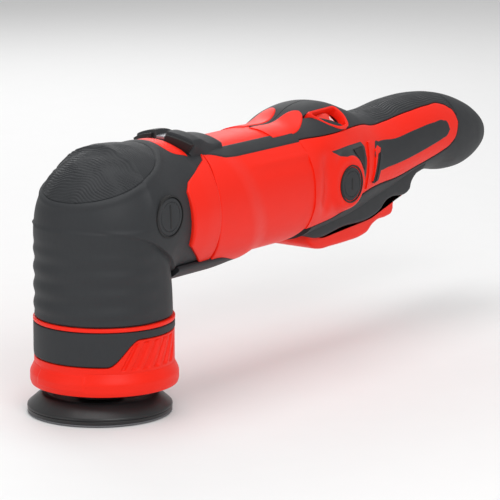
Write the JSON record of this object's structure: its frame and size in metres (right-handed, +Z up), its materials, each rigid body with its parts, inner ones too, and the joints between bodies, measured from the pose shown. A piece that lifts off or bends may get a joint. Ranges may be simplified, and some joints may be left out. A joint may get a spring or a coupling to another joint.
{
  "type": "dual action polisher",
  "caption": "Small corded dual action polisher: orbiting backing plate under an angled head, barrel motor housing, rubber covered handle, paddle trigger and speed dial.",
  "frame": {"origin": "on the spindle axis at the pad face", "axes": "+Z up along the spindle, +X rearwards from the head along the body to the handle, +Y to the right hand side seen from the handle, facing the head"},
  "size_m": [0.3915, 0.077, 0.1394],
  "materials": {
    "red_plastic": "bright orange red moulded nylon, satin",
    "dark_rubber": "dark grey moulded rubber, matt",
    "black_plastic": "black moulded plastic",
    "plate_plastic": "black polyurethane",
    "hook_fabric": "hook fibres",
    "cast_aluminium": "die cast aluminium",
    "ground_steel": "ground steel",
    "bearing_steel": "polished bearing steel",
    "brass": "brass",
    "copper": "enamelled copper wire",
    "lamination": "stacked electrical steel",
    "carbon": "pressed carbon",
    "circuit_board": "coated circuit board",
    "dial_plastic": "red moulded dial with pale numbers"
  },
  "bodies": {
    "housing": {"accent_ring": "red_plastic", "bearing_plate": "cast_aluminium", "boot_band": "dark_rubber", "brush_caps": "black_plastic", "brush_carrier": "black_plastic", "brush_holders": "brass", "brush_springs": "ground_steel", "carbon_brushes": "carbon", "case_screws": "ground_steel", "control_board": "circuit_board", "cord_gland": "black_plastic", "dial_bezel": "red_plastic", "dial_potentiometer": "black_plastic", "fan_baffle": "black_plastic", "field_windings": "copper", "front_bearing": "bearing_steel", "front_collar": "red_plastic", "gear_case": "cast_aluminium", "grip_left": "dark_rubber", "grip_panel_left": "dark_rubber", "grip_panel_right": "dark_rubber", "grip_right": "dark_rubber", "handle_screws": "ground_steel", "handle_shell_left": "red_plastic", "handle_shell_right": "red_plastic", "head_boot": "dark_rubber", "motor_housing": "red_plastic", "rear_bearing": "bearing_steel", "side_plugs": "black_plastic", "skirt": "red_plastic", "spindle_bearing": "bearing_steel", "spindle_bush": "brass", "stator_core": "lamination", "switch_body": "black_plastic", "top_rails": "dark_rubber", "trigger_pin": "ground_steel", "trigger_spring": "ground_steel", "underside_guard": "dark_rubber", "vent_hood": "dark_rubber", "vent_inserts": "black_plastic"},
    "plate": {"hook_disc": "hook_fabric", "plate_foam": "plate_plastic", "backing_plate": "plate_plastic", "plate_bolt": "ground_steel", "stub_spindle": "ground_steel"},
    "spindle": {"counterweight": "ground_steel", "eccentric_bearings": "bearing_steel", "bearing_retainer": "ground_steel", "main_spindle": "ground_steel", "bevel_gear": "ground_steel"},
    "armature": {"pinion": "ground_steel", "pinion_nut": "ground_steel", "armature_shaft": "ground_steel", "fan": "black_plastic", "armature_core": "lamination", "armature_windings": "copper", "commutator": "copper"},
    "trigger": {"trigger": "red_plastic"},
    "plunger": {"switch_plunger": "black_plastic"},
    "dial": {"speed_dial": "dial_plastic"}
  },
  "joints": [
    {"name": "spindle_spin", "type": "hinge", "parent": "housing", "child": "spindle", "pos_m": [0, 0, 0.05], "axis": [0, 0, 1], "continuous": true},
    {"name": "plate_spin", "type": "hinge", "parent": "spindle", "child": "plate", "pos_m": [-0.004, 0, 0.02], "axis": [0, 0, 1], "continuous": true},
    {"name": "armature_spin", "type": "hinge", "parent": "housing", "child": "armature", "pos_m": [0.1, 0, 0.098], "axis": [1, 0, 0], "continuous": true},
    {"name": "trigger_squeeze", "type": "hinge", "parent": "housing", "child": "trigger", "pos_m": [0.246, 0, 0.08], "axis": [0, 1, 0], "range_deg": [0, 4.5], "stiffness_Nm_per_rad": 4, "springref_deg": -5.73},
    {"name": "plunger_slide", "type": "slide", "parent": "housing", "child": "plunger", "axis": [0, 0, 1], "range_m": [0, 0.0027]},
    {"name": "dial_turn", "type": "hinge", "parent": "housing", "child": "dial", "pos_m": [0.171, -0.01235, 0.12168], "axis": [0, 0.766, 0.6428], "range_deg": [-76, 114]}
  ],
  "couplings": [
    {"joint": "armature_spin", "follows": "spindle_spin", "ratio": 3},
    {"joint": "plunger_slide", "follows": "trigger_squeeze", "m_per_rad": 0.032}
  ]
}
